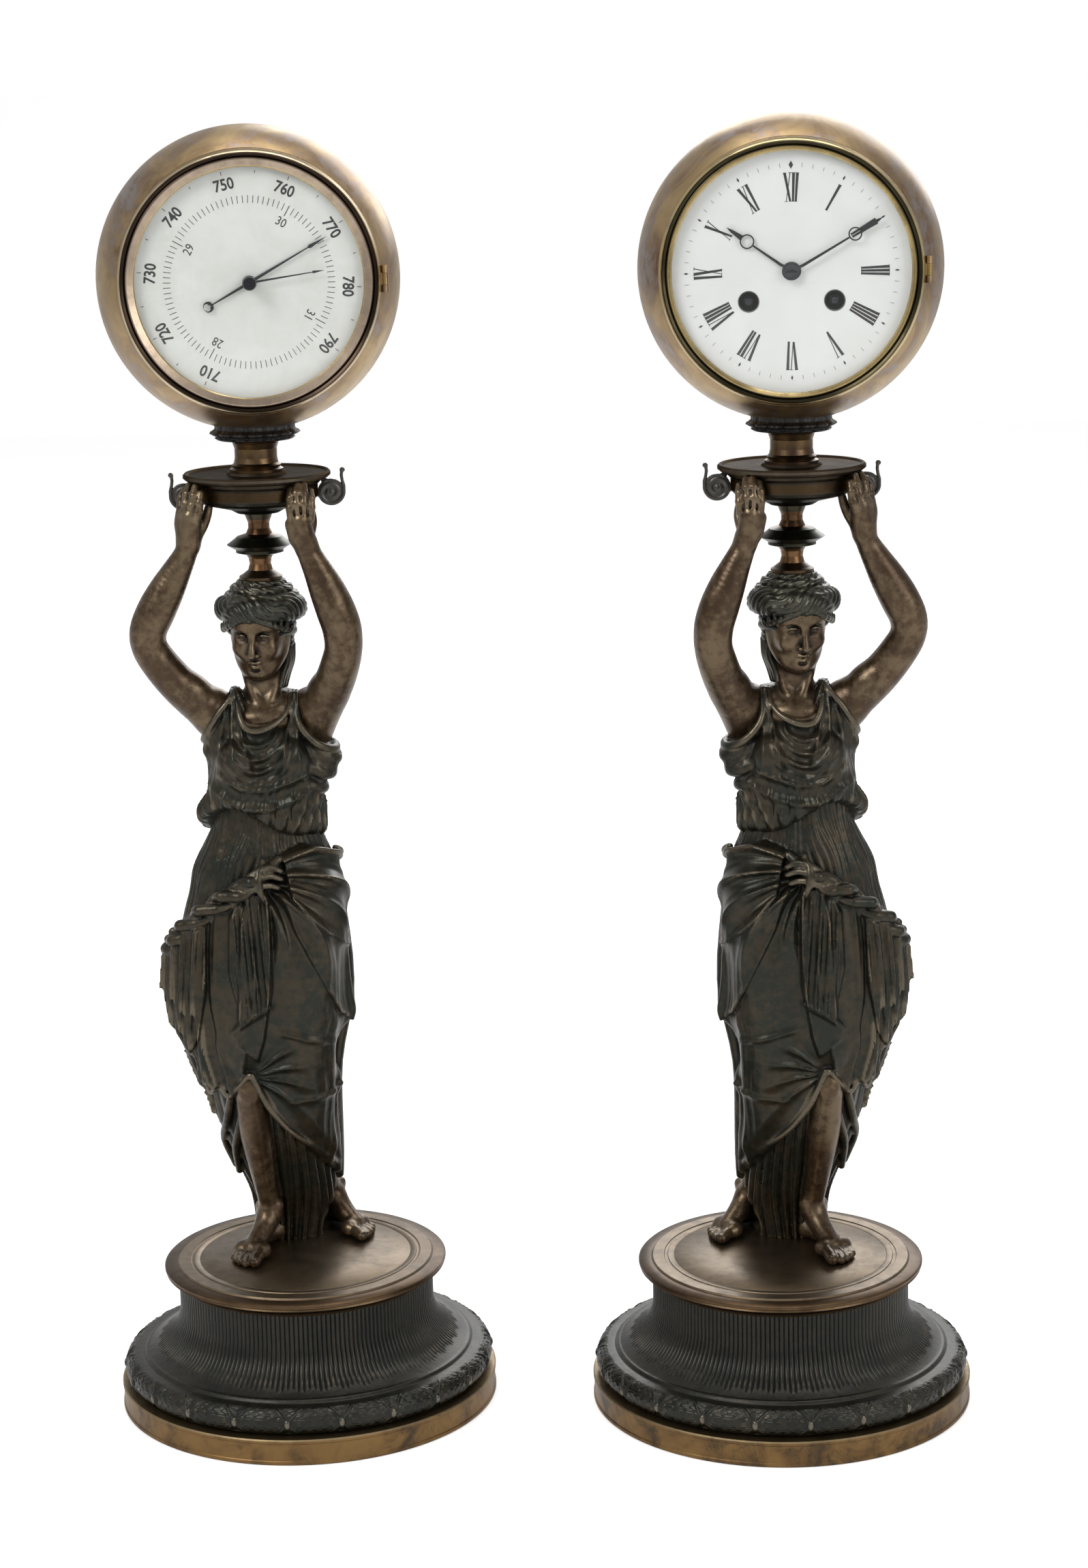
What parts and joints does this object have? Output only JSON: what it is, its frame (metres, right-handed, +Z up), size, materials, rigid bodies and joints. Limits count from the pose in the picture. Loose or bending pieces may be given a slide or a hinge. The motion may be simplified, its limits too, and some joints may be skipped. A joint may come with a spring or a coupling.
{
  "type": "clock_and_barometer_set",
  "caption": "Mantel clock and matching aneroid barometer: draped bronze caryatids on round bases, each holding up a dish that carries a brass ball case with a hinged bezel.",
  "frame": {"origin": "on the surface they stand on, midway between the axes of the two bases", "axes": "+Z up, dials face -Y, the clock stands on the +X side and the barometer on the -X side"},
  "size_m": [0.4074, 0.18, 0.6021],
  "materials": {
    "case_brass": "aged, mottled golden brown brass",
    "ring_brass": "polished antique brass",
    "dark_bronze": "dark green-black patinated bronze with rubbed highlights",
    "skin_bronze": "brown patinated bronze",
    "plate_bronze": "worn brown bronze",
    "black_metal": "blackened metal",
    "clock_enamel": "white enamel on copper, black figures",
    "silvered_dial": "pale silvered plate, black figures",
    "movement_brass": "plain brass",
    "steel": "plain steel",
    "glass": "clear domed glass"
  },
  "bodies": {
    "stand": {"clock_foot_ring": "ring_brass", "clock_base_drum": "dark_bronze", "clock_base_plate": "plate_bronze", "clock_drapery": "dark_bronze", "clock_torso": "dark_bronze", "clock_head": "skin_bronze", "clock_arm_inner": "skin_bronze", "clock_arm_outer": "skin_bronze", "clock_legs": "skin_bronze", "clock_spindle": "dark_bronze", "clock_dish": "plate_bronze", "clock_dish_handles": "black_metal", "clock_neck": "plate_bronze", "clock_collar": "black_metal", "clock_case": "case_brass", "clock_dial": "clock_enamel", "barometer_foot_ring": "ring_brass", "barometer_base_drum": "dark_bronze", "barometer_base_plate": "plate_bronze", "barometer_drapery": "dark_bronze", "barometer_torso": "dark_bronze", "barometer_head": "skin_bronze", "barometer_arm_inner": "skin_bronze", "barometer_arm_outer": "skin_bronze", "barometer_legs": "skin_bronze", "barometer_spindle": "dark_bronze", "barometer_dish": "plate_bronze", "barometer_dish_handles": "black_metal", "barometer_neck": "plate_bronze", "barometer_collar": "black_metal", "barometer_case": "case_brass", "barometer_dial": "silvered_dial", "movement_frame": "movement_brass", "movement_front_plate": "movement_brass", "strike_bell": "movement_brass", "aneroid_frame": "movement_brass", "aneroid_capsule": "steel", "aneroid_spring": "steel"},
    "clock_front_door": {"clock_bezel": "ring_brass", "clock_glass": "glass"},
    "clock_back_door": {"clock_rear_door": "case_brass"},
    "going_barrel": {"going_barrel": "movement_brass"},
    "going_winder": {"going_winder": "steel"},
    "strike_barrel": {"strike_barrel": "movement_brass"},
    "strike_winder": {"strike_winder": "steel"},
    "minute_hand": {"minute_hand": "black_metal"},
    "centre_train": {"centre_arbor": "movement_brass"},
    "minute_wheel": {"minute_wheel": "movement_brass"},
    "hour_train": {"hour_wheel": "movement_brass", "hour_hand": "black_metal"},
    "third_wheel": {"third_wheel": "movement_brass"},
    "escape_wheel": {"escape_wheel": "movement_brass"},
    "pendulum": {"pallet_anchor": "steel", "pendulum": "movement_brass"},
    "strike_hammer": {"strike_hammer": "steel"},
    "barometer_front_door": {"barometer_bezel": "ring_brass", "barometer_glass": "glass"},
    "set_hand": {"set_hand": "ring_brass"},
    "indicator": {"indicator_hand": "black_metal"},
    "aneroid_lever": {"aneroid_lever": "movement_brass"}
  },
  "joints": [
    {"name": "clock_front_door_hinge", "type": "hinge", "parent": "stand", "child": "clock_front_door", "pos_m": [0.18165, -0.0292, 0.5335], "axis": [0, 0, 1], "range_deg": [0, 105]},
    {"name": "clock_back_door_hinge", "type": "hinge", "parent": "stand", "child": "clock_back_door", "pos_m": [0.1624, 0.06544, 0.5335], "axis": [0, 0, 1], "range_deg": [-105, 0]},
    {"name": "minute_turn", "type": "hinge", "parent": "stand", "child": "minute_hand", "pos_m": [0.1217, 0.008, 0.5335], "axis": [0, 1, 0], "continuous": true},
    {"name": "centre_turn", "type": "hinge", "parent": "stand", "child": "centre_train", "pos_m": [0.1217, 0.008, 0.5335], "axis": [0, 1, 0], "continuous": true},
    {"name": "minute_wheel_turn", "type": "hinge", "parent": "stand", "child": "minute_wheel", "pos_m": [0.1217, 0.008, 0.5215], "axis": [0, 1, 0], "continuous": true},
    {"name": "hour_turn", "type": "hinge", "parent": "stand", "child": "hour_train", "pos_m": [0.1217, 0.008, 0.5335], "axis": [0, 1, 0], "continuous": true},
    {"name": "going_barrel_turn", "type": "hinge", "parent": "stand", "child": "going_barrel", "pos_m": [0.1405, 0.008, 0.5209], "axis": [0, 1, 0], "continuous": true},
    {"name": "third_wheel_turn", "type": "hinge", "parent": "stand", "child": "third_wheel", "pos_m": [0.11381, 0.008, 0.54555], "axis": [0, 1, 0], "continuous": true},
    {"name": "escape_wheel_turn", "type": "hinge", "parent": "stand", "child": "escape_wheel", "pos_m": [0.1217, 0.008, 0.5535], "axis": [0, 1, 0], "continuous": true},
    {"name": "pendulum_swing", "type": "hinge", "parent": "stand", "child": "pendulum", "pos_m": [0.1217, 0.008, 0.566], "axis": [0, 1, 0], "range_deg": [-3, 3]},
    {"name": "going_winder_turn", "type": "hinge", "parent": "stand", "child": "going_winder", "pos_m": [0.1405, 0.008, 0.5209], "axis": [0, 1, 0], "continuous": true},
    {"name": "strike_barrel_turn", "type": "hinge", "parent": "stand", "child": "strike_barrel", "pos_m": [0.1029, 0.008, 0.5209], "axis": [0, 1, 0], "continuous": true},
    {"name": "strike_winder_turn", "type": "hinge", "parent": "stand", "child": "strike_winder", "pos_m": [0.1029, 0.008, 0.5209], "axis": [0, 1, 0], "continuous": true},
    {"name": "hammer_swing", "type": "hinge", "parent": "stand", "child": "strike_hammer", "pos_m": [0.1527, 0.008, 0.5135], "axis": [0, 1, 0], "range_deg": [0, 12]},
    {"name": "barometer_front_door_hinge", "type": "hinge", "parent": "stand", "child": "barometer_front_door", "pos_m": [-0.05782, -0.02071, 0.5335], "axis": [0, 0, 1], "range_deg": [0, 105]},
    {"name": "set_hand_turn", "type": "hinge", "parent": "barometer_front_door", "child": "set_hand", "pos_m": [-0.12285, 0.00665, 0.5335], "axis": [-0.1564, 0.9877, 0], "continuous": true},
    {"name": "indicator_turn", "type": "hinge", "parent": "stand", "child": "indicator", "pos_m": [-0.12285, 0.00665, 0.5335], "axis": [-0.1564, 0.9877, 0], "range_deg": [-211, 59]},
    {"name": "lever_rock", "type": "hinge", "parent": "stand", "child": "aneroid_lever", "pos_m": [-0.1196, -0.01389, 0.5595], "axis": [0.9877, 0.1564, 0], "range_deg": [-2.2, 0.7]}
  ],
  "couplings": [
    {"joint": "minute_wheel_turn", "follows": "minute_turn", "ratio": -0.33333},
    {"joint": "hour_turn", "follows": "minute_turn", "ratio": 0.083333},
    {"joint": "third_wheel_turn", "follows": "escape_wheel_turn", "ratio": -0.14286},
    {"joint": "centre_turn", "follows": "escape_wheel_turn", "ratio": 0.017857},
    {"joint": "going_barrel_turn", "follows": "escape_wheel_turn", "ratio": -0.0034722},
    {"joint": "lever_rock", "follows": "indicator_turn", "ratio": 0.01}
  ]
}
